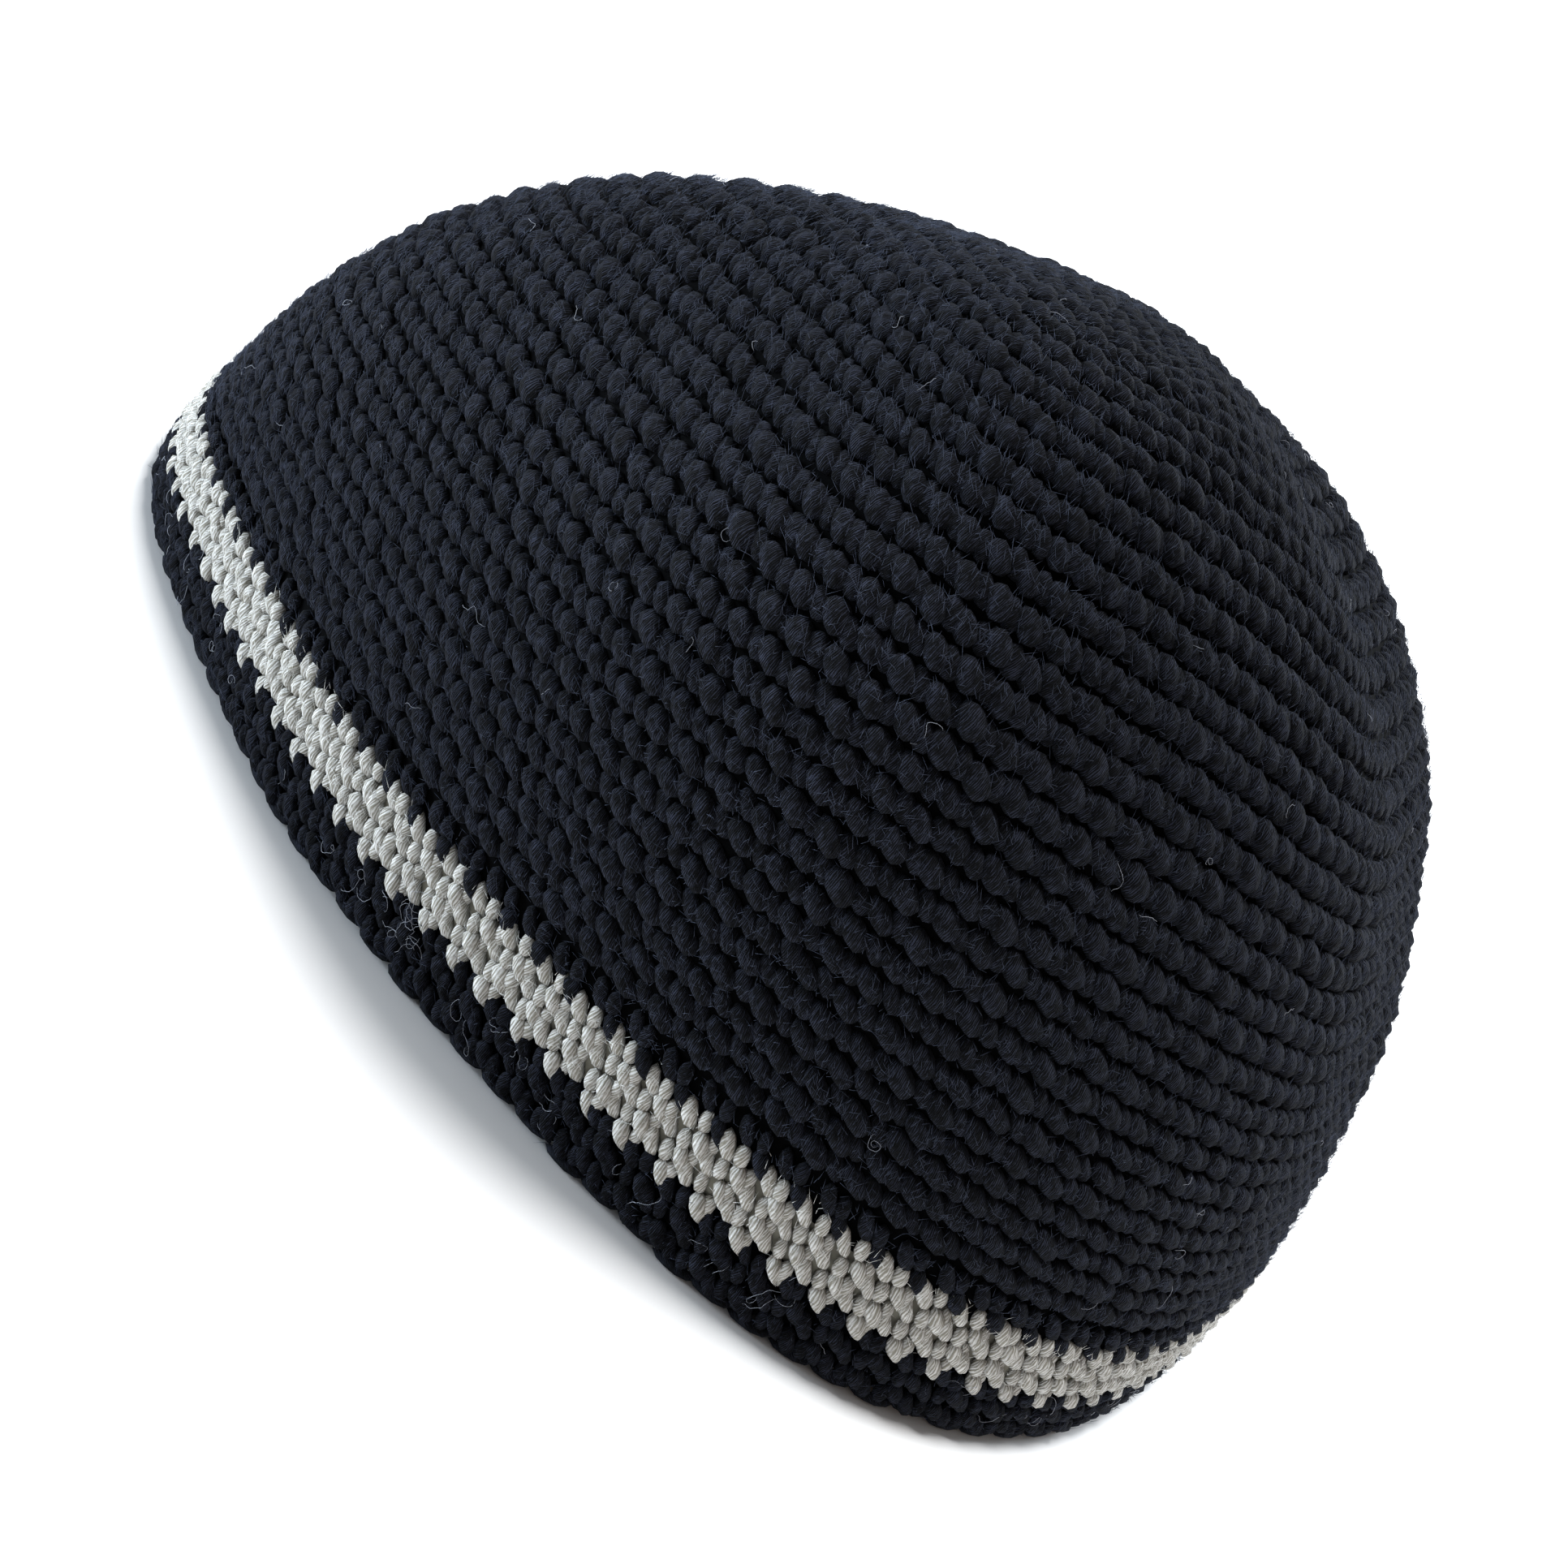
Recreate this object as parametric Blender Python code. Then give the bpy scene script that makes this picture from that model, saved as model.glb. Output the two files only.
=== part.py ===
"""A crocheted skull cap that stands on its brim.

The real cap is one fabric of single crochet, worked in rounds, with two changes of yarn. Its solids
are split at those changes: the navy crown, the white stripe and the navy brim. Each is a hollow ring
or dome of the fabric's true thickness, and the head goes in from below. The brim's foot is flat and
lies in the plane z = 0, and the cap's box is centred on the Z axis. Sizes are in metres.
"""
import math
from collections import namedtuple

import bmesh
import bpy
from mathutils import Vector

# Driving sizes. The fabric is as thick as two strands of its yarn. A round is one row of stitches,
# and its height is that of the tight rounds near the brim.
CAP_LENGTH = 0.189
CAP_WIDTH = 0.172
CAP_HEIGHT = 0.108
FABRIC_THICKNESS = 0.0030
ROUND_HEIGHT = 0.0025
BRIM_ROUNDS = 3
STRIPE_ROUNDS = 3
YARN_CHANGE_GAP = 0.0003

# Profile from the brim to the crown: how quickly the wall turns in over the head, how quickly it
# climbs, the share of the radius by which it swells half way up, and the dome's height as a share
# of its radius before the cap is brought to its real size.
TURN_IN_POWER = 0.82
CLIMB_POWER = 1.115
SIDE_SWELL = 0.073
DOME_HEIGHT_SHARE = 1.21

# The crown's centre leans off the brim's centre, as shares of the radius along X and Y.
CROWN_LEAN_X = 0.027
CROWN_LEAN_Y = -0.20

# The cap is soft, so its plan isn't a circle. Each row is a number of soft corners round the cap.
# A push is the share of the radius by which those corners stand out, and a turn is where the first
# one lies, in degrees from +X. They are given at the brim, half way up and at the crown. The back
# column says how much of the row is left at the back of the cap, on +Y, which is a plain oval.
Corners = namedtuple("Corners", "count back brim_push brim_turn side_push side_turn crown_push crown_turn")
CORNERS = (
    Corners(2, 1.0, 0.105, -22, 0.020, -87, 0.190, 85),
    Corners(3, 0.0, 0.050, 51, 0.040, 49, 0.105, 16),
    Corners(4, 0.0, 0.000, 0, 0.015, -2, 0.040, -26),
    Corners(5, 0.0, 0.025, 22, 0.015, 35, 0.025, 21),
    Corners(6, 0.0, 0.000, 0, 0.015, 29, 0.030, 19),
)

# Half way up, the rounds also ride up and down. Each row is a number of waves round the cap, how
# much of them is left at the back, the share of the radius by which they rise, and where the first
# crest lies, in degrees from +X.
Wave = namedtuple("Wave", "count back rise turn")
WAVES = (
    Wave(1, 1.0, 0.120, -73),
    Wave(2, 0.0, 0.060, 65),
    Wave(3, 0.0, 0.030, -57),
)

# How sharply the front's shape gives way to the plain back
FRONT_SHARPNESS = 0.8

# Fineness of the faceted walls
SIDES = 64
RING_SPACING = 0.0056
STEPS_UP = 160
SAMPLED_TURNS = 32

YARNS = {
    "navy_yarn": ((0.010, 0.012, 0.018, 1.0), 0.90),
    "white_yarn": ((0.62, 0.62, 0.58, 1.0), 0.85),
}


def clear_scene():
    for item in list(bpy.data.objects):
        bpy.data.objects.remove(item)


def yarn_material(name):
    colour, roughness = YARNS[name]
    material = bpy.data.materials.new(name)
    material.use_nodes = True
    shader = material.node_tree.nodes["Principled BSDF"]
    shader.inputs["Base Color"].default_value = colour
    shader.inputs["Roughness"].default_value = roughness
    shader.inputs["Metallic"].default_value = 0.0
    material.diffuse_color = colour
    return material


def smooth_step(share):
    share = min(max(share, 0.0), 1.0)
    return share * share * (3 - 2 * share)


def lobe(row, push, first_turn, turn):
    """How far this row's corners or waves push at one turn, as a share of the radius."""
    front = smooth_step(0.5 - FRONT_SHARPNESS * math.sin(turn))
    held = row.back + (1 - row.back) * front
    return held * push * math.cos(row.count * (turn - math.radians(first_turn)))


def dome_point(turn, rise):
    """A point of the unscaled outer surface. turn is the angle round the cap, and rise runs from 0 at
    the brim's foot to 1 at the crown's centre."""
    climb = math.pi / 2 * rise
    at_brim = smooth_step(1 - 2 * rise)
    at_crown = smooth_step(2 * rise - 1)
    at_side = 1 - at_brim - at_crown
    spread = 1.0
    for row in CORNERS:
        spread += at_brim * lobe(row, row.brim_push, row.brim_turn, turn)
        spread += at_side * lobe(row, row.side_push, row.side_turn, turn)
        spread += at_crown * lobe(row, row.crown_push, row.crown_turn, turn)
    swell = 1 + SIDE_SWELL * 4 * rise * (1 - rise)
    radius = max(math.cos(climb), 0.0) ** TURN_IN_POWER * swell * spread
    lean = math.sin(climb) ** 2
    ride = sum(lobe(row, row.rise, row.turn, turn) for row in WAVES)
    return Vector((
        radius * math.cos(turn) + CROWN_LEAN_X * lean,
        radius * math.sin(turn) + CROWN_LEAN_Y * lean,
        DOME_HEIGHT_SHARE * math.sin(climb) ** CLIMB_POWER + math.sin(math.pi * rise) * ride,
    ))


def dome_box():
    """Lowest and highest corners of the unscaled surface."""
    points = [
        dome_point(2 * math.pi * side / SIDES, step / STEPS_UP)
        for side in range(SIDES)
        for step in range(STEPS_UP + 1)
    ]
    low = [min(point[axis] for point in points) for axis in range(3)]
    high = [max(point[axis] for point in points) for axis in range(3)]
    return Vector(low), Vector(high)


BOX_LOW, BOX_HIGH = dome_box()


def outer_point(turn, rise):
    """The same point at the cap's real size, with its box centred on the Z axis and its foot at z = 0."""
    point = dome_point(turn, rise)
    share = [(point[axis] - BOX_LOW[axis]) / (BOX_HIGH[axis] - BOX_LOW[axis]) for axis in range(3)]
    return Vector((
        (share[0] - 0.5) * CAP_LENGTH,
        (share[1] - 0.5) * CAP_WIDTH,
        share[2] * CAP_HEIGHT,
    ))


def inward(turn, rise):
    """Unit vector from the outer surface into the fabric. It is level at the foot, which stays flat."""
    if rise >= 1:
        return Vector((0, 0, -1))
    step = 0.5 / STEPS_UP
    along = outer_point(turn + step, rise) - outer_point(turn - step, rise)
    up = outer_point(turn, min(rise + step, 1)) - outer_point(turn, max(rise - step, 0))
    direction = up.cross(along)
    if rise <= 0:
        direction.z = 0
    return direction.normalized()


def wall_point(turn, rise, depth):
    return outer_point(turn, rise) + inward(turn, rise) * depth


def climbs():
    """Mean distance up the wall from the foot, at each of the equal steps of rise."""
    turns = [2 * math.pi * sample / SAMPLED_TURNS for sample in range(SAMPLED_TURNS)]
    below = [outer_point(turn, 0) for turn in turns]
    totals = [0.0]
    for step in range(1, STEPS_UP + 1):
        above = [outer_point(turn, step / STEPS_UP) for turn in turns]
        mean = sum((high - low).length for high, low in zip(above, below)) / SAMPLED_TURNS
        totals.append(totals[-1] + mean)
        below = above
    return totals


CLIMBS = climbs()


def rise_at(distance):
    """The rise that lies this far up the wall from the foot."""
    for step in range(STEPS_UP):
        low, high = CLIMBS[step], CLIMBS[step + 1]
        if distance <= high:
            return (step + (distance - low) / (high - low)) / STEPS_UP
    return 1.0


def add_ring(mesh, rise, depth):
    """A ring of edges round the wall at one rise and depth. Side 0 lies on +X."""
    made = bmesh.ops.create_circle(mesh, segments=SIDES, radius=1.0)
    for vert in made["verts"]:
        turn = math.atan2(vert.co.y, vert.co.x)
        vert.co = wall_point(turn, rise, depth)
    return list({edge for vert in made["verts"] for edge in vert.link_edges})


def add_crown_centre(mesh, ring, depth):
    """Closes the last ring over the crown with a fan of faces."""
    centre = mesh.verts.new(wall_point(0, 1, depth))
    for edge in ring:
        mesh.faces.new((*edge.verts, centre))


def even_rises(start, end):
    """Rises from one distance up the wall to another, in equal steps of about one ring's spacing."""
    count = max(1, round((end - start) / RING_SPACING))
    return [rise_at(start + (end - start) * step / count) for step in range(count + 1)]


def wall_piece(name, yarn, start, end=None):
    """A stretch of the fabric from one distance up the wall to another, or to the crown's centre."""
    closes = end is None
    rises = even_rises(start, CLIMBS[-1] if closes else end)
    if closes:
        rises = rises[:-1]
    mesh = bmesh.new()
    outside = [add_ring(mesh, rise, 0.0) for rise in rises]
    inside = [add_ring(mesh, rise, FABRIC_THICKNESS) for rise in rises]
    if closes:
        route = outside[::-1] + inside
        add_crown_centre(mesh, route[0], 0.0)
        add_crown_centre(mesh, route[-1], FABRIC_THICKNESS)
        pairs = zip(route, route[1:])
    else:
        route = outside + inside[::-1]
        pairs = zip(route, route[1:] + route[:1])
    for first, second in pairs:
        bmesh.ops.bridge_loops(mesh, edges=first + second)
    bmesh.ops.recalc_face_normals(mesh, faces=mesh.faces)
    data = bpy.data.meshes.new(name)
    mesh.to_mesh(data)
    mesh.free()
    data.shade_smooth()
    data.set_sharp_from_angle(angle=math.radians(50))
    data.materials.append(yarn)
    piece = bpy.data.objects.new(name, data)
    bpy.context.scene.collection.objects.link(piece)
    return piece


clear_scene()
navy_yarn = yarn_material("navy_yarn")
white_yarn = yarn_material("white_yarn")

stripe_start = BRIM_ROUNDS * ROUND_HEIGHT
stripe_end = stripe_start + STRIPE_ROUNDS * ROUND_HEIGHT
half_gap = YARN_CHANGE_GAP / 2

wall_piece("brim", navy_yarn, 0.0, stripe_start - half_gap)
wall_piece("stripe", white_yarn, stripe_start + half_gap, stripe_end - half_gap)
wall_piece("crown", navy_yarn, stripe_end + half_gap)
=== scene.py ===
import math

import bmesh
import bpy
import numpy as np
from mathutils import Matrix, Vector


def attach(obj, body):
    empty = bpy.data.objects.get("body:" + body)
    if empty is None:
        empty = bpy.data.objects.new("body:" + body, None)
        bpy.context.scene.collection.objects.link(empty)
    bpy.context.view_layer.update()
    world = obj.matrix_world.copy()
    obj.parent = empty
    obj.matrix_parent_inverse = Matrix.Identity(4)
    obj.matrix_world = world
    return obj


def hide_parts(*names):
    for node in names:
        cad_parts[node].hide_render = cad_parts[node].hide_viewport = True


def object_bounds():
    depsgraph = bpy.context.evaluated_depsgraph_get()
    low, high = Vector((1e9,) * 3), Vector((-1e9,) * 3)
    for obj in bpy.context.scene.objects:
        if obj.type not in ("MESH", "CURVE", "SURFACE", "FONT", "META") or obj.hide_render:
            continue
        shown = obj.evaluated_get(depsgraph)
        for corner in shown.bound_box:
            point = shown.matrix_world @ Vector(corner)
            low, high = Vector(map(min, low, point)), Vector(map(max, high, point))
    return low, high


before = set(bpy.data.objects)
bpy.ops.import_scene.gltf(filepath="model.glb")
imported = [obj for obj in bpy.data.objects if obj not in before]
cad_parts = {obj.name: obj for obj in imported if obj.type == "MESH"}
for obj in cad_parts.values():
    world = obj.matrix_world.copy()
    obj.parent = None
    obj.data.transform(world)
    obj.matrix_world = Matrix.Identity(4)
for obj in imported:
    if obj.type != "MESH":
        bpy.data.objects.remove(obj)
cad_low, cad_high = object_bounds()
dice = np.random.default_rng(96)

# The form of the cap.
# A crocheted skull cap is one soft fabric, so every round of stitches follows the same slightly
# lopsided dome. Its profile and its soft corners are the ones that the solids were made with, as
# shares of the cap's own length, width and height.
TURN_IN_POWER = 0.82
CLIMB_POWER = 1.115
SIDE_SWELL = 0.073
DOME_HEIGHT_SHARE = 1.21
CROWN_LEAN_X = 0.027
CROWN_LEAN_Y = -0.20
FRONT_SHARPNESS = 0.8
# Each row of soft corners has their count, how much of them is left at the back, and then how far they
# push and where the first one lies, at the brim, half way up and at the crown.
CORNERS = (
    (2, 1.0, (0.105, -22), (0.020, -87), (0.190, 85)),
    (3, 0.0, (0.050, 51), (0.040, 49), (0.105, 16)),
    (4, 0.0, (0.000, 0), (0.015, -2), (0.040, -26)),
    (5, 0.0, (0.025, 22), (0.015, 35), (0.025, 21)),
    (6, 0.0, (0.000, 0), (0.015, 29), (0.030, 19)),
)
# Each wave that the rounds ride on has its count, what is left at the back, its rise and first crest.
WAVES = ((1, 1.0, 0.120, -73), (2, 0.0, 0.060, 65), (3, 0.0, 0.030, -57))


def smooth_step(share):
    share = np.clip(share, 0.0, 1.0)
    return share * share * (3 - 2 * share)


def lobe(count, back, push, first_turn, turn):
    front = smooth_step(0.5 - FRONT_SHARPNESS * np.sin(turn))
    return (back + (1 - back) * front) * push * np.cos(count * (turn - math.radians(first_turn)))


def dome_point(turn, rise):
    climb = np.pi / 2 * rise
    at_brim = smooth_step(1 - 2 * rise)
    at_crown = smooth_step(2 * rise - 1)
    at_side = 1 - at_brim - at_crown
    spread = 1.0
    for count, back, brim, side, crown in CORNERS:
        spread = spread + at_brim * lobe(count, back, *brim, turn)
        spread = spread + at_side * lobe(count, back, *side, turn)
        spread = spread + at_crown * lobe(count, back, *crown, turn)
    swell = 1 + SIDE_SWELL * 4 * rise * (1 - rise)
    radius = np.maximum(np.cos(climb), 0.0) ** TURN_IN_POWER * swell * spread
    lean = np.sin(climb) ** 2
    ride = sum(lobe(*wave, turn) for wave in WAVES)
    height = DOME_HEIGHT_SHARE * np.sin(climb) ** CLIMB_POWER + np.sin(np.pi * rise) * ride
    across = radius * np.cos(turn) + CROWN_LEAN_X * lean
    along = radius * np.sin(turn) + CROWN_LEAN_Y * lean
    return np.stack([across, along, height], axis=-1)


TURN_STEPS = 720
RISE_STEPS = 400
grid_turns = np.linspace(0, 2 * np.pi, TURN_STEPS, endpoint=False)[:, None]
grid_rises = np.linspace(0, 1, RISE_STEPS + 1)[None, :]
dome = dome_point(grid_turns, grid_rises)
dome_low = dome.min(axis=(0, 1))
dome_high = dome.max(axis=(0, 1))
dome_share = (dome - dome_low) / (dome_high - dome_low)
skin = np.array(cad_low) + dome_share * (np.array(cad_high) - np.array(cad_low))

# Small soft dents and bulges in the cloth: a turn in degrees, a distance up the wall, how far it is
# pushed out and how far it spreads.
DENTS = (
    (182, 0.020, -0.0014, 0.012),
    (184, 0.059, 0.0013, 0.018),
    (205, 0.125, -0.0011, 0.016),
    (150, 0.135, -0.0016, 0.012),
    (100, 0.1455, -0.0004, 0.006),
    (52, 0.141, -0.0014, 0.008),
    (2, 0.050, 0.0011, 0.014),
)


def wall_directions():
    """Directions round the wall, and straight out of it, at every point of the grid."""
    round_ways = np.roll(skin, -1, axis=0) - np.roll(skin, 1, axis=0)
    up_ways = np.gradient(skin, axis=1)
    ways = np.cross(round_ways, up_ways)
    ways[:, -1] = (0, 0, 1)
    ways[:, 0, 2] = 0
    return ways / np.linalg.norm(ways, axis=-1, keepdims=True)


climb_steps = np.linalg.norm(np.diff(skin, axis=1), axis=-1).mean(axis=0)
climbs = np.concatenate([[0], np.cumsum(climb_steps)])
out_ways = wall_directions()
for dent_turn, dent_distance, push, spread in DENTS:
    column = round(dent_turn / 360 * TURN_STEPS)
    row = int(np.searchsorted(climbs, dent_distance))
    away_from = np.linalg.norm(skin - skin[column, row], axis=-1, keepdims=True)
    skin = skin + out_ways * push * np.exp(-((away_from / spread) ** 2))
out_ways = wall_directions()


def on_grid(grid, turn, distance):
    """Reads a grid of points or directions at any turn, and at any distance up the wall."""
    rise = np.interp(distance, climbs, np.arange(RISE_STEPS + 1))
    low = np.minimum(rise.astype(int), RISE_STEPS - 1)
    up = (rise - low)[..., None]
    place = np.mod(turn / (2 * np.pi) * TURN_STEPS, TURN_STEPS)
    left = place.astype(int) % TURN_STEPS
    right = (left + 1) % TURN_STEPS
    over = (place - np.floor(place))[..., None]
    below = grid[left, low] * (1 - over) + grid[right, low] * over
    above = grid[left, low + 1] * (1 - over) + grid[right, low + 1] * over
    return below * (1 - up) + above * up


def fabric_point(turn, distance, proud):
    """A point so far proud of the fabric's outer face, at a turn and a distance up the wall."""
    point = on_grid(skin, turn, distance)
    out = on_grid(out_ways, turn, distance)
    out = out / np.linalg.norm(out, axis=-1, keepdims=True)
    return point + out * proud[..., None]


# The rounds.
# Each round is one row of single crochet. They are low and tight at the brim and open out on the
# dome. All have the same number of stitches until the flat of the crown, where a round loses seven.
# A round is given by the distance of its stitches' points, its height and its number of stitches.
BRIM_ROUNDS = 3
STRIPE_ROUNDS = 3
ROUND_AT_BRIM = 0.0025
ROUND_AT_CROWN = 0.0051
ROUNDS_OPEN_FROM = 0.003
ROUNDS_OPEN_TO = 0.105
FIRST_POINTS = -0.0015
STITCHES_ROUND = 96
STITCHES_GAINED = 7
FEWEST_STITCHES = 6
CENTRE_LEFT_OPEN = 1.2 * ROUND_AT_CROWN
FIRST_STITCH_TURN = math.radians(-90)


def round_height(distance):
    share = smooth_step((distance - ROUNDS_OPEN_FROM) / (ROUNDS_OPEN_TO - ROUNDS_OPEN_FROM))
    return ROUND_AT_BRIM + (ROUND_AT_CROWN - ROUND_AT_BRIM) * share


rounds = []
points_at = FIRST_POINTS
while climbs[-1] - points_at > CENTRE_LEFT_OPEN:
    height = float(round_height(points_at))
    from_centre = (climbs[-1] - points_at - height) / ROUND_AT_CROWN
    stitches = min(STITCHES_ROUND, max(FEWEST_STITCHES, round(STITCHES_GAINED * from_centre)))
    rounds.append((points_at, height, stitches))
    points_at += height

# Each round's stitches lie a little to one side of those below, so the columns lean. On the side
# that faces front left they lean the most. This is how far they have gone over at each distance.
LEAN_EVEN = (0.20, 0.04)
LEAN_SWING = (0.10, 0.32)
LEAN_SWING_TURN = math.radians(225)
LEAN_GROWS_TO = 0.070
LEAN_ENDS = (0.070, 0.100)

lean_grown = smooth_step(climbs / LEAN_GROWS_TO)
lean_left = 1 - smooth_step((climbs - LEAN_ENDS[0]) / (LEAN_ENDS[1] - LEAN_ENDS[0]))
gone_steps = np.gradient(climbs) * lean_left
lean_even = LEAN_EVEN[0] + (LEAN_EVEN[1] - LEAN_EVEN[0]) * lean_grown
lean_swing = LEAN_SWING[0] + (LEAN_SWING[1] - LEAN_SWING[0]) * lean_grown
gone_even = np.cumsum(gone_steps * lean_even)
gone_swing = np.cumsum(gone_steps * lean_swing)


def gone_over(turn, distance):
    """How far the columns have gone over, in metres round the brim. The back is worked plainly."""
    front = smooth_step(0.5 - FRONT_SHARPNESS * np.sin(turn))
    swing = np.interp(distance, climbs, gone_swing) * np.cos(turn - LEAN_SWING_TURN)
    return front * (np.interp(distance, climbs, gone_even) + swing)


# The yarn.
# Soft cotton, spun from several fine plies, so its surface is a rope of slanting lines with short
# fibres standing off it. The navy is nearly black and the white is a warm cream.
# Each yarn's plies are the number of lines round a strand, the lines in a millimetre along it, how
# broken they are, and how patchy.
NAVY_PLIES = (20, 4.2, 1.2, 0.45)
WHITE_PLIES = (13, 2.2, 0.8, 0.10)
# Each yarn has three colours: painted shade for its creases, its own colour, and a painted highlight for
# its raised fibres.
NAVY_CREASE_SHADE = (0.0003, 0.0004, 0.0006)
NAVY = (0.0011, 0.0013, 0.0023)
NAVY_FIBRE_HIGHLIGHT = (0.024, 0.028, 0.045)
WHITE_CREASE_SHADE = (0.24, 0.23, 0.19)
WHITE = (0.43, 0.42, 0.40)
WHITE_FIBRE_HIGHLIGHT = (0.64, 0.64, 0.62)
CREASE_SHADE_UP_TO, PLAIN_AT, FIBRE_HIGHLIGHT_FROM = 0.40, 0.52, 0.68
NAVY_SHEEN = 0.025
WHITE_SHEEN = 0.02
SHEEN_TINT = (0.70, 0.80, 1.0)
NAVY_BUMP = 0.00045
WHITE_BUMP = 0.00022
PLY_WANDER = 1.6
PLY_RIDGE = 0.12
PATCHES_PER_METRE = 750.0


def yarn(name, colours, plies, sheen, bump_depth):
    """Matt plied yarn: painted shade in the creases, its own colour between them, painted highlight on
    raised fibres.
    """
    lines_round, lines_along, broken, patchy = plies
    material = bpy.data.materials.new(name)
    material.use_nodes = True
    nodes = material.node_tree.nodes
    links = material.node_tree.links
    shader = nodes["Principled BSDF"]
    shader.inputs["Roughness"].default_value = 0.88
    shader.inputs["Specular IOR Level"].default_value = 0.10
    shader.inputs["Sheen Weight"].default_value = sheen
    shader.inputs["Sheen Roughness"].default_value = 0.5
    shader.inputs["Sheen Tint"].default_value = (*SHEEN_TINT, 1)

    def sums(operation, first, second=None, third=None):
        node = nodes.new("ShaderNodeMath")
        node.operation = operation
        for socket, value in zip(node.inputs, (first, second, third)):
            if isinstance(value, bpy.types.NodeSocket):
                links.new(value, socket)
            elif value is not None:
                socket.default_value = value
        return node.outputs[0]

    # The map runs round the strand in U and along it, in millimetres, in V. Ply lines wind round it.
    strand = nodes.new("ShaderNodeUVMap")
    strand.uv_map = "strand"
    parts = nodes.new("ShaderNodeSeparateXYZ")
    links.new(strand.outputs["UV"], parts.inputs["Vector"])
    slant = sums("MULTIPLY", parts.outputs["Y"], -lines_along)
    lines = sums("MULTIPLY_ADD", parts.outputs["X"], lines_round, slant)
    place = nodes.new("ShaderNodeCombineXYZ")
    links.new(lines, place.inputs["X"])
    links.new(sums("MULTIPLY", parts.outputs["Y"], broken), place.inputs["Y"])

    # Plies, as soft ridges that wander a little
    wander = nodes.new("ShaderNodeTexNoise")
    wander.inputs["Scale"].default_value = 0.6
    wander.inputs["Detail"].default_value = 2.0
    links.new(place.outputs[0], wander.inputs["Vector"])
    wound = sums("MULTIPLY_ADD", wander.outputs["Fac"], PLY_WANDER, lines)
    ridges = sums("SINE", sums("MULTIPLY", wound, 2 * math.pi))

    # Fibres, as fine broken streaks that lie along the plies
    fibres = nodes.new("ShaderNodeTexNoise")
    fibres.inputs["Scale"].default_value = 1.1
    fibres.inputs["Detail"].default_value = 3.0
    fibres.inputs["Roughness"].default_value = 0.7
    links.new(place.outputs[0], fibres.inputs["Vector"])
    raised = sums("MULTIPLY_ADD", ridges, PLY_RIDGE, fibres.outputs["Fac"])

    # Patches a millimetre wide where the fibres lie flatter or stand up
    spot = nodes.new("ShaderNodeTexCoord")
    patches = nodes.new("ShaderNodeTexNoise")
    patches.inputs["Scale"].default_value = PATCHES_PER_METRE
    patches.inputs["Detail"].default_value = 2.0
    links.new(spot.outputs["Object"], patches.inputs["Vector"])
    shown = sums("MULTIPLY_ADD", patches.outputs["Fac"], patchy, raised)
    shown = sums("SUBTRACT", shown, patchy / 2)

    bump = nodes.new("ShaderNodeBump")
    bump.inputs["Strength"].default_value = 1.0
    bump.inputs["Distance"].default_value = bump_depth
    links.new(raised, bump.inputs["Height"])
    links.new(bump.outputs["Normal"], shader.inputs["Normal"])

    # The colour follows the bump's heights, with random patches: painted shade in the low creases and a
    # painted highlight on the raised fibres.
    shade = nodes.new("ShaderNodeValToRGB")
    ramp = shade.color_ramp.elements
    ramp.new(0.5)
    positions = (CREASE_SHADE_UP_TO, PLAIN_AT, FIBRE_HIGHLIGHT_FROM)
    for element, position, colour in zip(ramp, positions, colours):
        element.position = position
        element.color = (*colour, 1)
    links.new(shown, shade.inputs["Fac"])
    links.new(shade.outputs["Color"], shader.inputs["Base Color"])
    return material


navy_colours = (NAVY_CREASE_SHADE, NAVY, NAVY_FIBRE_HIGHLIGHT)
white_colours = (WHITE_CREASE_SHADE, WHITE, WHITE_FIBRE_HIGHLIGHT)
navy_yarn = yarn("navy_yarn_plied", navy_colours, NAVY_PLIES, NAVY_SHEEN, NAVY_BUMP)
white_yarn = yarn("white_yarn_plied", white_colours, WHITE_PLIES, WHITE_SHEEN, WHITE_BUMP)


# One strand of a stitch.
# Where the yarn comes out of the fabric it shows as a short plump strand that leans to the left,
# and dives back in at both ends. A ball of a few dozen faces is drawn out along the strand's path.
# It is plumper in the higher rounds, and slimmer where the stitches crowd at the crown's centre.
YARN_RADIUS = 0.001
LOW_ROUND = 0.0026
TALL_ROUND_MORE = 0.0018
TALL_ROUND_PLUMPER = 0.26
FULL_WIDTH = 0.0052
END_SQUARENESS = 3.5
PATH_STEP = 0.04
# How unlike one another the strands are: shares of a stitch round the cap and of a round up it,
# millimetres in and out, and a share of the thickness.
UNLIKE_PLACE = (0.035, 0.045, 0.12)
UNLIKE_THICKNESS = 0.06
# No yarn comes closer to the floor than this, and no strand's path closer to either end of the wall.
FLOOR_CLEAR = 0.00005
WALL_END_CLEAR = 0.0002


def strand_ball(sides, rings):
    """The ball's vertices as shares along and round the strand, with its faces and its own map."""
    ball = bmesh.new()
    bmesh.ops.create_uvsphere(ball, u_segments=sides, v_segments=rings, radius=1.0)
    points = np.array([vert.co[:] for vert in ball.verts])
    along = np.arccos(np.clip(points[:, 2], -1, 1)) / np.pi
    around = np.arctan2(points[:, 1], points[:, 0])
    corners = []
    sizes = []
    maps = []
    for face in ball.faces:
        rim = [vert.index for vert in face.verts]
        turns = np.array([around[index] / (2 * np.pi) + 0.5 for index in rim])
        at_end = np.array([along[index] < 0.001 or along[index] > 0.999 for index in rim])
        if np.ptp(turns[~at_end]) > 0.5:
            turns[turns < 0.5] += 1
        turns[at_end] = turns[~at_end].mean()
        corners += rim
        sizes.append(len(rim))
        maps += [(turns[i], along[rim[i]]) for i in range(len(rim))]
    ball.free()
    return along, around, np.array(corners), np.array(sizes), np.array(maps)


OUTER_BALL = strand_ball(7, 5)
DOME_BALL = strand_ball(8, 5)
INNER_BALL = strand_ball(5, 4)


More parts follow.
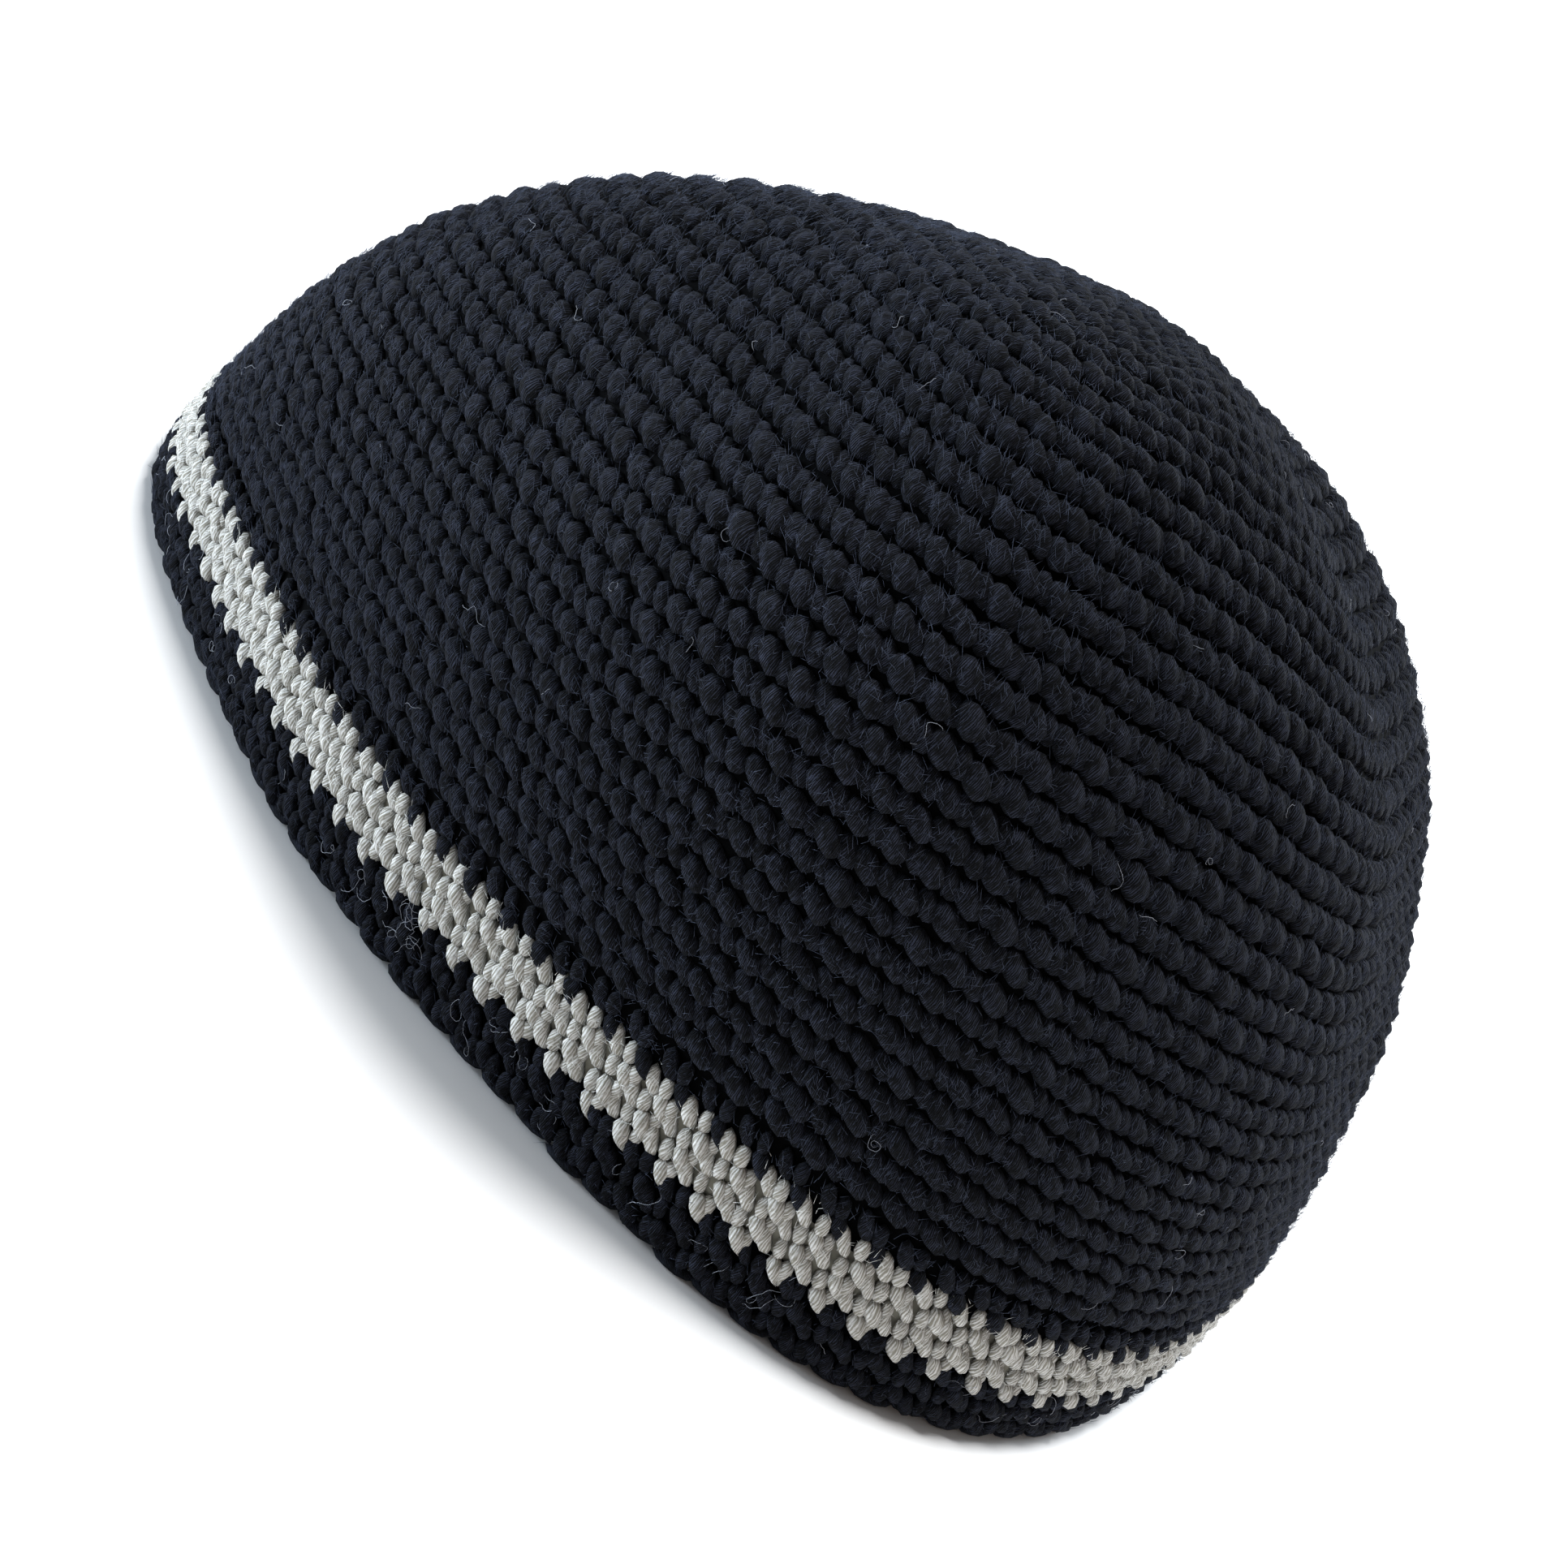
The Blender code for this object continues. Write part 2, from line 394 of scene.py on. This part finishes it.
def curve_through(stops, share):
    """Points at the shares 0 to 1 along a smooth curve through a few stops."""
    stops = np.asarray(stops, dtype=float)
    spans = len(stops) - 1
    ends = np.vstack([2 * stops[:1] - stops[1:2], stops, 2 * stops[-1:] - stops[-2:-1]])
    place = np.clip(share * spans, 0, spans - 1e-9)
    span = place.astype(int)
    t = (place - span)[:, None]
    a, b, c, d = (ends[span + step] for step in range(4))
    return 0.5 * (
        2 * b + (c - a) * t + (2 * a - 5 * b + 4 * c - d) * t**2 + (3 * b - a - 3 * c + d) * t**3
    )


def round_map(chosen):
    """Turns at equal stations round one round, the distance to each, and the round's girth."""
    points_at, height, stitches = chosen
    turns = np.linspace(0, 2 * np.pi, TURN_STEPS + 1) + FIRST_STITCH_TURN
    ring = on_grid(skin, turns, np.full(TURN_STEPS + 1, max(points_at + height, 0.001)))
    lengths = np.concatenate([[0], np.cumsum(np.linalg.norm(np.diff(ring, axis=0), axis=1))])
    return turns, lengths, lengths[-1]


# The columns keep their turn where the rounds grow smaller, so the lean is counted at the full girth,
# which is that of the wall 20 mm up.
FULL_GIRTH_AT = 0.020
FULL_GIRTH = round_map((FULL_GIRTH_AT, 0.0, STITCHES_ROUND))[2]


def strand_copies(ball, chosen, loop):
    """The same strand in every stitch of one round, each a little different: points and map.

    The loop is its stops and its thickness at each. A stop is shares of the stitch's width and of
    the round's height, then millimetres proud of the fabric's outer face."""
    along, around, _, _, maps = ball
    points_at, height, stitches = chosen
    turns, lengths, girth = round_map(chosen)
    width = girth / stitches
    stops = np.array(loop[0], dtype=float)
    tall = smooth_step((height - LOW_ROUND) / TALL_ROUND_MORE)
    plump = YARN_RADIUS * (1 + TALL_ROUND_PLUMPER * tall) * min(1, width / FULL_WIDTH)
    radius = curve_through(np.array(loop[1])[:, None], along)[:, 0] * plump
    radius = radius * np.sqrt(np.clip(1 - np.abs(2 * along - 1) ** END_SQUARENESS, 0.0, 1.0))
    shift = dice.normal(0, 1, (3, stitches, 1)) * np.array(UNLIKE_PLACE)[:, None, None]
    fat = (1 + dice.normal(0, UNLIKE_THICKNESS, (stitches, 1)))[..., None]

    def centre(shares):
        line = curve_through(stops, shares)
        place = (np.arange(stitches)[:, None] + line[None, :, 0] + shift[0]) * width
        far = points_at + (line[None, :, 1] + shift[1]) * height
        far = np.clip(far, WALL_END_CLEAR, climbs[-1] - WALL_END_CLEAR)
        plain_turn = np.interp(place % girth, lengths, turns)
        place = place + gone_over(plain_turn, max(points_at, 0)) * girth / FULL_GIRTH
        turn = np.interp(place % girth, lengths, turns) + place // girth * 2 * np.pi
        return fabric_point(turn, far, (line[None, :, 2] + shift[2]) * 0.001), turn, far

    middle, turn, far = centre(along)
    ahead = centre(np.clip(along + PATH_STEP, 0, 1))[0]
    behind = centre(np.clip(along - PATH_STEP, 0, 1))[0]
    way = ahead - behind
    way /= np.linalg.norm(way, axis=-1, keepdims=True) + 1e-12
    side = np.cross(way, on_grid(out_ways, turn, far))
    side /= np.linalg.norm(side, axis=-1, keepdims=True) + 1e-12
    lift = np.cross(side, way)
    wide = (radius * np.sin(around))[None, :, None] * fat
    high = (radius * np.cos(around))[None, :, None] * fat
    points = (middle + side * wide + lift * high).reshape(-1, 3)
    points[:, 2] = np.maximum(points[:, 2], FLOOR_CLEAR)
    steps = np.diff(stops[:, :2] * (width, height), axis=0)
    length = np.linalg.norm(steps, axis=1).sum() * 1000
    placed = np.tile(maps, (stitches, 1)).reshape(stitches, -1, 2)
    placed[..., 1] = placed[..., 1] * length + dice.uniform(0, 90, (stitches, 1))
    return points, placed.reshape(-1, 2)


def joined_piece(name, points, corners, sizes, maps, material, node):
    """One piece made of many small closed shapes, from arrays of points and face corners."""
    data = bpy.data.meshes.new(name)
    data.vertices.add(len(points))
    data.vertices.foreach_set("co", points.astype(np.float32).ravel())
    data.loops.add(len(corners))
    data.loops.foreach_set("vertex_index", corners.astype(np.int32))
    data.polygons.add(len(sizes))
    starts = np.concatenate([[0], np.cumsum(sizes)[:-1]])
    data.polygons.foreach_set("loop_start", starts.astype(np.int32))
    data.polygons.foreach_set("loop_total", sizes.astype(np.int32))
    data.uv_layers.new(name="strand")
    data.uv_layers["strand"].data.foreach_set("uv", maps.astype(np.float32).ravel())
    data.update(calc_edges=True)
    data.validate()
    data.shade_smooth()
    data.materials.append(material)
    piece = bpy.data.objects.new(name, data)
    bpy.context.scene.collection.objects.link(piece)
    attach(piece, "root")
    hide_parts(node)


def strands(name, ball, work, material, node):
    """Joins the strands of one piece. The work is pairs of rounds and the loops in each."""
    made = [
        strand_copies(ball, chosen, loop)
        for some_rounds, loops in work
        for chosen in some_rounds
        for loop in loops
    ]
    points = np.concatenate([pair[0] for pair in made])
    maps = np.concatenate([pair[1] for pair in made])
    along, _, corners, sizes, _ = ball
    copies = len(points) // len(along)
    all_corners = (corners[None] + np.arange(copies)[:, None] * len(along)).ravel()
    joined_piece(name, points, all_corners, np.tile(sizes, copies), maps, material, node)


# The stitches.
# In the brim, the stripe and the first navy round above it, a single crochet shows two plump loops
# that lean to the left. One ends where the next round grips it. The other dips there, swells again
# and runs down to a point, between the loops of the round below.
SHORT_LOOP = (
    ((-0.01, 1.90, -0.95), (0.06, 1.58, -0.60), (0.20, 1.18, -0.55), (0.45, 0.72, -0.90)),
    (0.66, 0.88, 0.98, 0.74),
)
LONG_LOOP_TOP = (
    ((-0.56, 1.90, -0.95), (-0.51, 1.58, -0.60), (-0.46, 1.26, -0.60), (-0.36, 0.86, -0.95)),
    (0.66, 0.88, 0.92, 0.74),
)
LONG_LOOP_POINT = (
    (
        (-0.48, 1.08, -0.95),
        (-0.36, 0.82, -0.50),
        (-0.22, 0.52, -0.42),
        (-0.10, 0.26, -0.48),
        (0.01, -0.01, -0.60),
    ),
    (0.80, 1.08, 1.00, 0.68, 0.14),
)
# In the stripe a third strand shows, which lies deeper, straight above the point.
DEEP_STRAND = (
    ((-0.16, 1.30, -1.20), (-0.11, 0.88, -0.85), (-0.07, 0.50, -0.80), (0.00, 0.06, -0.78)),
    (0.80, 0.92, 0.74, 0.25),
)
STITCH = (SHORT_LOOP, LONG_LOOP_TOP, LONG_LOOP_POINT)

# On the dome the rounds are looser and the points are hidden. One loop swells into a wide lump that
# touches its neighbours, the other lies deeper beside it, and a furrow runs between the rounds.
WIDE_LOOP = (
    (
        (0.68, 1.03, -1.55),
        (0.49, 1.21, -1.05),
        (0.26, 1.43, -0.92),
        (0.04, 1.64, -1.05),
        (-0.14, 1.87, -1.55),
    ),
    (1.00, 1.27, 1.33, 1.25, 0.92),
)
SIDE_LOOP = (
    (
        (1.06, 0.98, -1.70),
        (0.92, 1.22, -1.30),
        (0.76, 1.46, -1.18),
        (0.58, 1.72, -1.30),
        (0.46, 1.92, -1.70),
    ),
    (0.80, 1.06, 1.13, 1.02, 0.76),
)
DOME_STITCH = (WIDE_LOOP, SIDE_LOOP)

# Along the brim's foot the last strands lie flat, end to end.
FOOT_STRAND = (
    ((-0.10, 0.78, -1.15), (0.22, 0.88, -0.75), (0.66, 0.88, -0.75), (1.04, 0.98, -1.15)),
    (0.55, 0.72, 0.72, 0.55),
)

white_from = BRIM_ROUNDS
crown_from = BRIM_ROUNDS + STRIPE_ROUNDS
brim_work = (
    (rounds[:1], (SHORT_LOOP, LONG_LOOP_TOP, FOOT_STRAND)),
    (rounds[1:white_from], STITCH),
)
strands("brim_stitches", OUTER_BALL, brim_work, navy_yarn, "brim")

stripe_work = (
    (rounds[white_from:crown_from], STITCH),
    (rounds[white_from:crown_from], (DEEP_STRAND,)),
)
strands("stripe_stitches", OUTER_BALL, stripe_work, white_yarn, "stripe")

# The dome's rounds are made in three bands, so that no piece grows too large.
dome_from = crown_from + 1
DOME_BANDS = (("lower", dome_from, 18), ("middle", 18, 29), ("top", 29, len(rounds)))
first_round_work = ((rounds[crown_from:dome_from], STITCH),)
strands("crown_first_round", OUTER_BALL, first_round_work, navy_yarn, "crown")
for band_name, first, last in DOME_BANDS:
    crown_work = ((rounds[first:last], DOME_STITCH),)
    strands(f"crown_stitches_{band_name}", DOME_BALL, crown_work, navy_yarn, "crown")

# The inside of the fabric.
# Inside the cap each stitch shows as a flat bar along the round, with one short upright above it.
INNER_BAR = (
    ((-0.10, 1.20, -2.1), (0.25, 1.12, -2.45), (0.62, 1.20, -2.45), (0.95, 1.34, -2.1)),
    (0.50, 0.66, 0.66, 0.50),
)
INNER_UPRIGHT = (
    ((0.30, 1.36, -2.0), (0.36, 1.60, -2.35), (0.44, 1.84, -2.35), (0.50, 2.08, -2.0)),
    (0.50, 0.62, 0.62, 0.50),
)
INNER_LOOPS = (INNER_BAR, INNER_UPRIGHT)
INSIDE_TOP_FROM = 24

brim_inside = ((rounds[:white_from], INNER_LOOPS),)
stripe_inside = ((rounds[white_from:crown_from], INNER_LOOPS),)
crown_inside = ((rounds[crown_from:INSIDE_TOP_FROM], INNER_LOOPS),)
crown_inside_top = ((rounds[INSIDE_TOP_FROM:], INNER_LOOPS),)
strands("brim_inside", INNER_BALL, brim_inside, navy_yarn, "brim")
strands("stripe_inside", INNER_BALL, stripe_inside, white_yarn, "stripe")
strands("crown_inside", INNER_BALL, crown_inside, navy_yarn, "crown")
strands("crown_inside_top", INNER_BALL, crown_inside_top, navy_yarn, "crown")


# The core of the fabric.
# The middle of the crochet is a mat of yarn that no light gets through. It closes the gaps between
# the loops, so it is one thin wall inside the stitches. It stops short of the small holes at the foot.
# The mat itself is real, but it is coloured with painted shade: its yarn's crease shade, as the yarn
# looks deep between the loops.
CORE_DEPTH = 0.0012
CORE_THICKNESS = 0.0004
CORE_SIDES = 180
CORE_RING_SPACING = 0.003
CORE_FOOT = 0.0016
CORE_CENTRE_HOLE = 0.0004
# The core's colour changes just above the points of the first white round.
WHITE_CORE_UP = 0.95


def core(name, start, end, colour, node):
    """A stretch of the core from one distance up the wall to another, as a closed ring."""
    rings = max(2, round((end - start) / CORE_RING_SPACING))
    mesh = bmesh.new()
    loops = []
    for depth in (CORE_DEPTH, CORE_DEPTH + CORE_THICKNESS):
        for step in range(rings + 1):
            far = start + (end - start) * step / rings
            made = bmesh.ops.create_circle(mesh, segments=CORE_SIDES, radius=1.0)
            turns = np.array([math.atan2(vert.co.y, vert.co.x) for vert in made["verts"]])
            spots = fabric_point(turns, np.full(CORE_SIDES, far), np.full(CORE_SIDES, -depth))
            for vert, spot in zip(made["verts"], spots):
                vert.co = spot
            loops.append(list({edge for vert in made["verts"] for edge in vert.link_edges}))
    route = loops[: rings + 1] + loops[rings + 1:][::-1]
    for first, second in zip(route, route[1:] + route[:1]):
        bmesh.ops.bridge_loops(mesh, edges=first + second)
    bmesh.ops.recalc_face_normals(mesh, faces=mesh.faces)
    data = bpy.data.meshes.new(name)
    mesh.to_mesh(data)
    mesh.free()
    data.shade_smooth()
    material = bpy.data.materials.new(f"{name}_mat_painted_shade")
    material.use_nodes = True
    shader = material.node_tree.nodes["Principled BSDF"]
    shader.inputs["Base Color"].default_value = (*colour, 1)
    shader.inputs["Roughness"].default_value = 0.95
    shader.inputs["Specular IOR Level"].default_value = 0.05
    data.materials.append(material)
    piece = bpy.data.objects.new(name, data)
    bpy.context.scene.collection.objects.link(piece)
    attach(piece, "root")
    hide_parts(node)


white_start = rounds[white_from][0] + WHITE_CORE_UP * ROUND_AT_BRIM
white_end = rounds[crown_from][0]
# Each stretch of core is coloured with its yarn's painted crease shade.
core("brim_core", CORE_FOOT, white_start, NAVY_CREASE_SHADE, "brim")
core("stripe_core", white_start, white_end, WHITE_CREASE_SHADE, "stripe")
core("crown_core", white_end, climbs[-1] - CORE_CENTRE_HOLE, NAVY_CREASE_SHADE, "crown")


# Loose fibres.
# Cotton sheds short fibres that stand off every strand as a fine fuzz, and pale curled hairs of lint
# that cling to the dark rounds, most of them just below the stripe.
FUZZ_LENGTH = (0.0007, 0.0021)
FUZZ_WIDTH = 0.000075
# The fibres root on the plump middle of the strands: a share of the round's height above its points,
# with their scatter, how far proud of the fabric they root there, and how quickly that falls away up
# and down. They lean to the left as the strands do, and stand out by a share of their length. The
# foot of a fibre is a small triangle, and its keel is that triangle's height against half its width.
FUZZ_UP = 1.44
FUZZ_SCATTER = 0.24
FUZZ_PROUD = 0.0005
FUZZ_CURVE = 0.0030
FUZZ_SUNK = 0.0004
FUZZ_DEEPEST = -0.0008
FUZZ_LEAN = math.radians(115)
FUZZ_LEAN_SCATTER = 0.7
FUZZ_RISE = (0.05, 0.60)
FUZZ_KEEL = 1.4


def plain_fibre(name, colour):
    material = bpy.data.materials.new(name)
    material.use_nodes = True
    shader = material.node_tree.nodes["Principled BSDF"]
    shader.inputs["Base Color"].default_value = (*colour, 1)
    shader.inputs["Roughness"].default_value = 0.8
    shader.inputs["Specular IOR Level"].default_value = 0.15
    return material


def fuzz(name, start, end, per_stitch, material, node):
    """Short fibres as thin closed wedges of four faces, rooted in the stitches of a band of the wall."""
    roots = []
    for points_at, height, stitches in rounds:
        if not start <= points_at + height < end:
            continue
        count = stitches * per_stitch
        turn = dice.uniform(0, 2 * np.pi, count)
        up = dice.normal(0, FUZZ_SCATTER, count)
        proud = FUZZ_PROUD - FUZZ_CURVE * up**2 + dice.uniform(-FUZZ_SUNK, 0.0, count)
        roots.append(np.stack([turn, points_at + height * (FUZZ_UP + up), proud], axis=-1))
    roots = np.concatenate(roots)
    count = len(roots)
    root = fabric_point(roots[:, 0], roots[:, 1], np.maximum(roots[:, 2], FUZZ_DEEPEST))
    out = on_grid(out_ways, roots[:, 0], roots[:, 1])
    level = np.cross((0, 0, 1), out)
    level /= np.linalg.norm(level, axis=-1, keepdims=True) + 1e-9
    up = np.cross(out, level)
    lean = dice.normal(FUZZ_LEAN, FUZZ_LEAN_SCATTER, count)[:, None]
    along = level * np.cos(lean) + up * np.sin(lean)
    rise = dice.uniform(*FUZZ_RISE, count)[:, None]
    way = along + out * rise
    way /= np.linalg.norm(way, axis=-1, keepdims=True)
    across = np.cross(way, out)
    across /= np.linalg.norm(across, axis=-1, keepdims=True)
    lift = np.cross(across, way)
    length = dice.uniform(*FUZZ_LENGTH, count)[:, None]
    half = FUZZ_WIDTH / 2
    foot = [root + across * half, root - across * half, root + lift * half * FUZZ_KEEL]
    tip = root + way * length
    points = np.stack([*foot, tip], axis=1).reshape(-1, 3)
    points[:, 2] = np.maximum(points[:, 2], FLOOR_CLEAR)
    faces = np.array([(0, 1, 2), (1, 0, 3), (2, 1, 3), (0, 2, 3)])
    corners = (faces.ravel()[None] + np.arange(count)[:, None] * 4).ravel()
    sizes = np.full(count * 4, 3)
    joined_piece(name, points, corners, sizes, np.zeros((len(corners), 2)), material, node)


LINT_WIDTH = 0.00005
LINT_STEP = 0.00036
LINT_SUNK = 0.0003
# How far a hair's bend strays at its start and at each step, and how far its heading strays
LINT_BEND = 0.35
LINT_CURL = 0.28
LINT_JITTER = 0.4
# It keeps this far from the ends of the wall, and its steps round the cap are measured at this reach
# from the middle or more, so that they stay short near the crown's centre.
LINT_END_CLEAR = 0.001
LINT_LEAST_REACH = 0.02


def lint(name, roots, steps, material, node):
    """Curled hairs, each a thin closed tube of three sides that wanders over the wall."""
    points = []
    corners = []
    sizes = []
    for turn, distance, far_proud in roots:
        spot = np.array([turn, distance])
        heading = dice.uniform(0, 2 * math.pi)
        bend = dice.normal(0, LINT_BEND)
        count = int(dice.integers(*steps))
        line = []
        for step in range(count):
            proud = far_proud * math.sin(math.pi * (step + 0.5) / count)
            line.append((spot[0], spot[1], proud - LINT_SUNK))
            bend += dice.normal(0, LINT_CURL)
            heading += bend * 0.5 + dice.normal(0, LINT_JITTER)
            wall_spot = on_grid(skin, np.array(spot[0]), np.array(spot[1]))
            reach = max(LINT_LEAST_REACH, np.linalg.norm(wall_spot[:2]))
            spot = spot + np.array([math.cos(heading) / reach, math.sin(heading)]) * LINT_STEP
            spot[1] = min(max(spot[1], LINT_END_CLEAR), climbs[-1] - LINT_END_CLEAR)
        line = np.array(line)
        path = fabric_point(line[:, 0], line[:, 1], line[:, 2])
        out = on_grid(out_ways, line[:, 0], line[:, 1])
        way = np.gradient(path, axis=0)
        way /= np.linalg.norm(way, axis=-1, keepdims=True)
        side = np.cross(way, out)
        side /= np.linalg.norm(side, axis=-1, keepdims=True)
        lift = np.cross(side, way)
        base = sum(len(ring) for ring in points)
        around = np.radians([90, 210, 330])[None, :, None]
        ring = path[:, None] + LINT_WIDTH / 2 * (
            side[:, None] * np.cos(around) + lift[:, None] * np.sin(around)
        )
        points.append(ring.reshape(-1, 3))
        for step in range(count - 1):
            for edge in range(3):
                low = base + step * 3
                right = (edge + 1) % 3
                corners += [low + edge, low + right, low + 3 + right, low + 3 + edge]
                sizes.append(4)
        corners += [base + 2, base + 1, base]
        top = base + (count - 1) * 3
        corners += [top, top + 1, top + 2]
        sizes += [3, 3]
    corners = np.array(corners)
    maps = np.zeros((len(corners), 2))
    joined_piece(name, np.concatenate(points), corners, np.array(sizes), maps, material, node)


navy_fuzz = plain_fibre("navy_fuzz_fibre", (0.040, 0.048, 0.072))
white_fuzz = plain_fibre("white_fuzz_fibre", (0.74, 0.74, 0.71))
lint_hair = plain_fibre("lint_hair_fibre", (0.34, 0.36, 0.41))
BRIM_FIBRES = 12
DOME_FIBRES = 22
TOP_FUZZ_FROM = 0.080
BAND_EDGE_UP = 0.6 * ROUND_AT_BRIM
stripe_low = rounds[white_from][0] + BAND_EDGE_UP
stripe_high = rounds[crown_from][0] + BAND_EDGE_UP
fuzz("brim_fuzz", 0.0, stripe_low, BRIM_FIBRES, navy_fuzz, "brim")
fuzz("stripe_fuzz", stripe_low, stripe_high, BRIM_FIBRES, white_fuzz, "stripe")
fuzz("crown_fuzz", stripe_high, TOP_FUZZ_FROM, DOME_FIBRES, navy_fuzz, "crown")
fuzz("crown_fuzz_top", TOP_FUZZ_FROM, climbs[-1], DOME_FIBRES, navy_fuzz, "crown")

# Each hair starts at a turn and a distance up the wall, and stands so far proud half way along.
HAIRS_UNDER_STRIPE = 150
HAIRS_IN_TANGLE = 9
HAIRS_ON_DOME = 90
TANGLE_TURN = math.radians(-107)


def spread_hairs(count, distances, prouds):
    return [
        (dice.uniform(0, 2 * math.pi), dice.uniform(*distances), dice.uniform(*prouds))
        for _ in range(count)
    ]


under_stripe = spread_hairs(HAIRS_UNDER_STRIPE, (0.0035, 0.0070), (0.0004, 0.0009))
tangle = [
    (TANGLE_TURN + dice.normal(0, 0.02), dice.normal(0.0058, 0.0008), 0.0010)
    for _ in range(HAIRS_IN_TANGLE)
]
on_dome = spread_hairs(HAIRS_ON_DOME, (0.018, 0.140), (0.0004, 0.0008))
lint("brim_lint", under_stripe + tangle, (7, 20), lint_hair, "brim")
lint("crown_lint", on_dome, (6, 18), lint_hair, "crown")


# The floor is a plain pale sheet, far larger than the cap.
FLOOR_SIZE = 40.0
sheet = bmesh.new()
bmesh.ops.create_grid(sheet, x_segments=1, y_segments=1, size=FLOOR_SIZE / 2)
floor_data = bpy.data.meshes.new("floor")
sheet.to_mesh(floor_data)
sheet.free()
floor = bpy.data.objects.new("floor", floor_data)
bpy.context.scene.collection.objects.link(floor)
floor_material = bpy.data.materials.new("floor_pale")
floor_material.use_nodes = True
floor_shader = floor_material.node_tree.nodes["Principled BSDF"]
floor_shader.inputs["Base Color"].default_value = (0.90, 0.90, 0.90, 1)
floor_shader.inputs["Roughness"].default_value = 0.9
floor_data.materials.append(floor_material)

# Plain soft studio light: a pale room, a soft light from straight above, a panel behind the cap on
# the right, a cool one low on the left and a weaker warm one low on the right.
world = bpy.data.worlds.new("pale_room")
world.use_nodes = True
world.node_tree.nodes["Background"].inputs["Color"].default_value = (1.0, 1.0, 1.0, 1)
world.node_tree.nodes["Background"].inputs["Strength"].default_value = 0.25
bpy.context.scene.world = world


LIGHTS_AIM = Vector((0, 0, 0.04))


def aimed(name, lamp, spot):
    holder = bpy.data.objects.new(name, lamp)
    holder.location = spot
    holder.rotation_mode = "QUATERNION"
    holder.rotation_quaternion = (LIGHTS_AIM - Vector(spot)).to_track_quat("-Z", "Y")
    bpy.context.scene.collection.objects.link(holder)


def panel(name, spot, size, power, colour):
    lamp = bpy.data.lights.new(name, "AREA")
    lamp.shape = "SQUARE"
    lamp.size = size
    lamp.energy = power
    lamp.color = colour
    aimed(name, lamp, spot)


high_light = bpy.data.lights.new("high_light", "SUN")
high_light.energy = 3.1
high_light.angle = math.radians(16)
high_light.color = (1.0, 1.0, 1.0)
aimed("high_light", high_light, (0.03, 0.05, 1.1))
panel("back_panel", (0.55, 0.85, 0.75), 0.9, 22.0, (0.86, 0.93, 1.0))
panel("cool_panel", (-0.62, -0.16, 0.05), 0.3, 9.5, (0.78, 0.89, 1.0))
panel("warm_panel", (0.95, -0.55, 0.20), 0.5, 0.7, (1.0, 0.52, 0.26))

# The camera stands about 430 mm off, 26 degrees above the floor, and is rolled as the photo is.
CAMERA_ELEVATION = 0.4535
CAMERA_ROLL = 0.6909
CAMERA_DISTANCE = 0.43156
CAMERA_FOCUS = 1.9776
AIM_ACROSS = 0.0526
AIM_DOWN = -0.0617
AIM_POINT = Vector((0.00260, 0.00312, 0.0))
SENSOR = 36.0

away = Vector((0, -math.cos(CAMERA_ELEVATION), math.sin(CAMERA_ELEVATION)))
forward = -away
right = forward.cross(Vector((0, 0, 1))).normalized()
down = forward.cross(right)
rolled = Matrix.Rotation(CAMERA_ROLL, 3, "Z") @ Matrix((right, down, forward))
aim_x = Matrix.Rotation(math.atan(AIM_DOWN / CAMERA_FOCUS), 3, "X")
aim_y = Matrix.Rotation(-math.atan(AIM_ACROSS / CAMERA_FOCUS), 3, "Y")
turned = aim_x @ aim_y @ rolled
camera_data = bpy.data.cameras.new("camera")
camera_data.sensor_width = SENSOR
camera_data.lens = CAMERA_FOCUS * SENSOR
camera_data.clip_start = 0.01
camera_data.clip_end = 50.0
camera = bpy.data.objects.new("camera", camera_data)
pose = Matrix((turned[0], -turned[1], -turned[2])).transposed().to_4x4()
pose.translation = AIM_POINT + away * CAMERA_DISTANCE
camera.matrix_world = pose
bpy.context.scene.collection.objects.link(camera)
bpy.context.scene.camera = camera
bpy.context.scene.view_settings.view_transform = "Standard"
